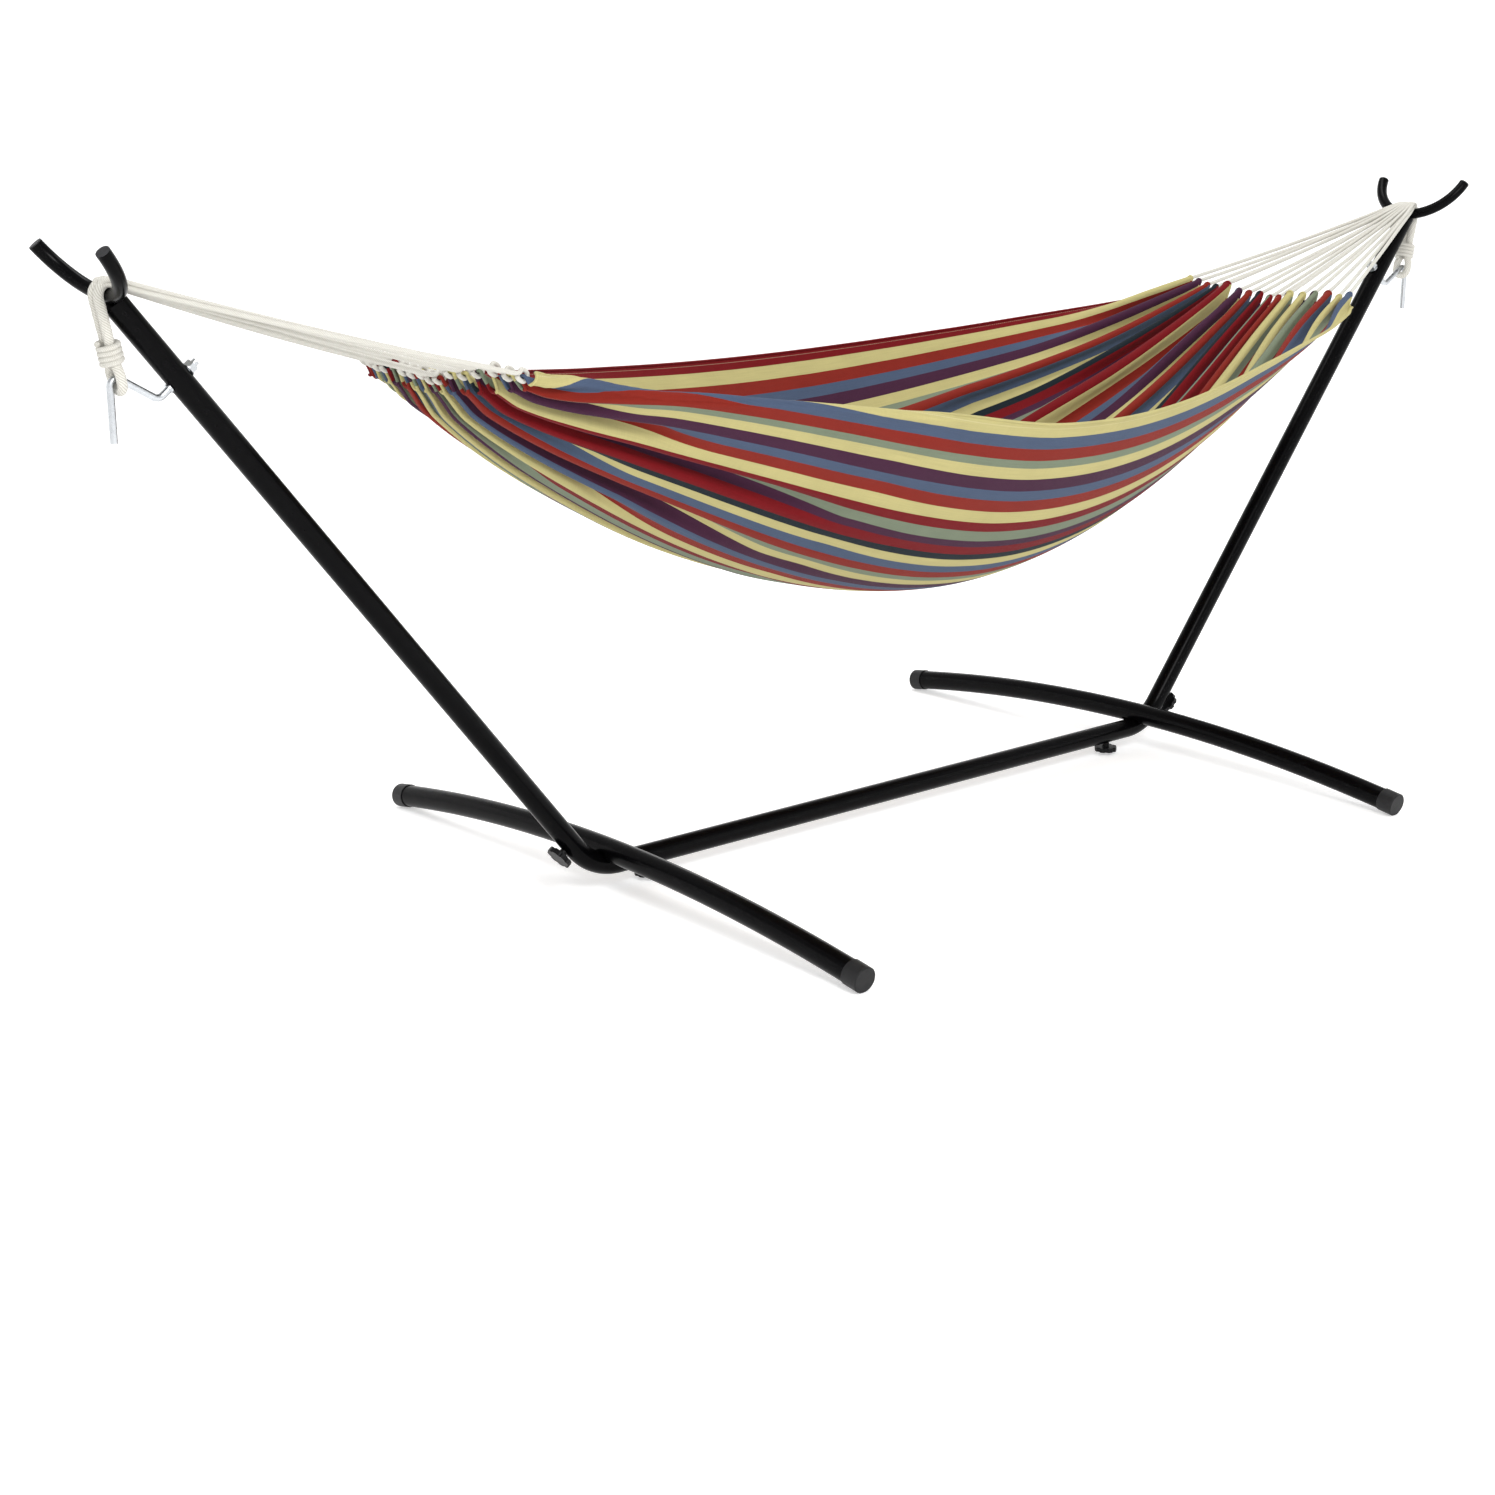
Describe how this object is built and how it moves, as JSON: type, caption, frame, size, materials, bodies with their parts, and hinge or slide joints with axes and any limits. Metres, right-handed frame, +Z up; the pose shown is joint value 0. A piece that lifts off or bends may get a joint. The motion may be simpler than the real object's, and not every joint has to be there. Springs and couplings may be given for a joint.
{
  "type": "hammock on stand",
  "caption": "Striped cloth hammock hung by fanned cords from the cradles of a black steel tube stand with curved cross legs and clamping knobs.",
  "frame": {"origin": "on the ground under the middle of the stand", "axes": "+X along the hammock, from its left end to its right end; +Y across it, from the front feet to the back feet; +Z up"},
  "size_m": [2.9802, 1.2062, 1.0524],
  "materials": {
    "black_powder_coat": "gloss",
    "cap_plastic": "satin",
    "knob_plastic": "satin",
    "plug_plastic": "satin",
    "zinc_plate": "polished",
    "inner_steel": "satin",
    "cotton_rope": "matte",
    "striped_cotton": "matte"
  },
  "bodies": {
    "stand": {"arm_left": "black_powder_coat", "arm_right": "black_powder_coat", "base_bar": "black_powder_coat", "cradle_left": "black_powder_coat", "cradle_plugs_left": "plug_plastic", "cradle_plugs_right": "plug_plastic", "cradle_right": "black_powder_coat", "cross_stub_left": "black_powder_coat", "cross_stub_right": "black_powder_coat", "elbow_left": "black_powder_coat", "elbow_right": "black_powder_coat", "foot_cap_left_back": "cap_plastic", "foot_cap_left_front": "cap_plastic", "foot_cap_right_back": "cap_plastic", "foot_cap_right_front": "cap_plastic", "hook_nuts": "zinc_plate", "hook_washers": "zinc_plate", "leg_left_back": "black_powder_coat", "leg_left_front": "black_powder_coat", "leg_right_back": "black_powder_coat", "leg_right_front": "black_powder_coat", "loop_rope_left": "cotton_rope", "loop_rope_right": "cotton_rope", "rope_eye_left": "cotton_rope", "rope_eye_right": "cotton_rope", "rope_hook_left": "zinc_plate", "rope_hook_right": "zinc_plate", "weld_nuts": "inner_steel", "whipping_left": "cotton_rope", "whipping_right": "cotton_rope"},
    "hammock": {"hammock_bed": "striped_cotton", "hem_front": "striped_cotton", "hem_back": "striped_cotton", "clew_cords_left": "cotton_rope", "clew_cords_right": "cotton_rope"},
    "arm_knob_left": {"arm_knob_left": "knob_plastic"},
    "base_knob_left": {"base_knob_left": "knob_plastic"},
    "arm_knob_right": {"arm_knob_right": "knob_plastic"},
    "base_knob_right": {"base_knob_right": "knob_plastic"}
  },
  "joints": [
    {"name": "hammock_swing", "type": "hinge", "parent": "stand", "child": "hammock", "pos_m": [0, 0, 1.005], "axis": [1, 0, 0], "range_deg": [-30, 30]},
    {"name": "arm_knob_left_turn", "type": "hinge", "parent": "stand", "child": "arm_knob_left", "pos_m": [-0.73434, 0, 0.07577], "axis": [-0.7793, 0, -0.6266], "continuous": true},
    {"name": "base_knob_left_turn", "type": "hinge", "parent": "stand", "child": "base_knob_left", "pos_m": [-0.5625, 0, 0.015], "axis": [0, 0, -1], "continuous": true},
    {"name": "arm_knob_right_turn", "type": "hinge", "parent": "stand", "child": "arm_knob_right", "pos_m": [0.73434, 0, 0.07577], "axis": [0.7793, 0, -0.6266], "continuous": true},
    {"name": "base_knob_right_turn", "type": "hinge", "parent": "stand", "child": "base_knob_right", "pos_m": [0.5625, 0, 0.015], "axis": [0, 0, -1], "continuous": true}
  ]
}
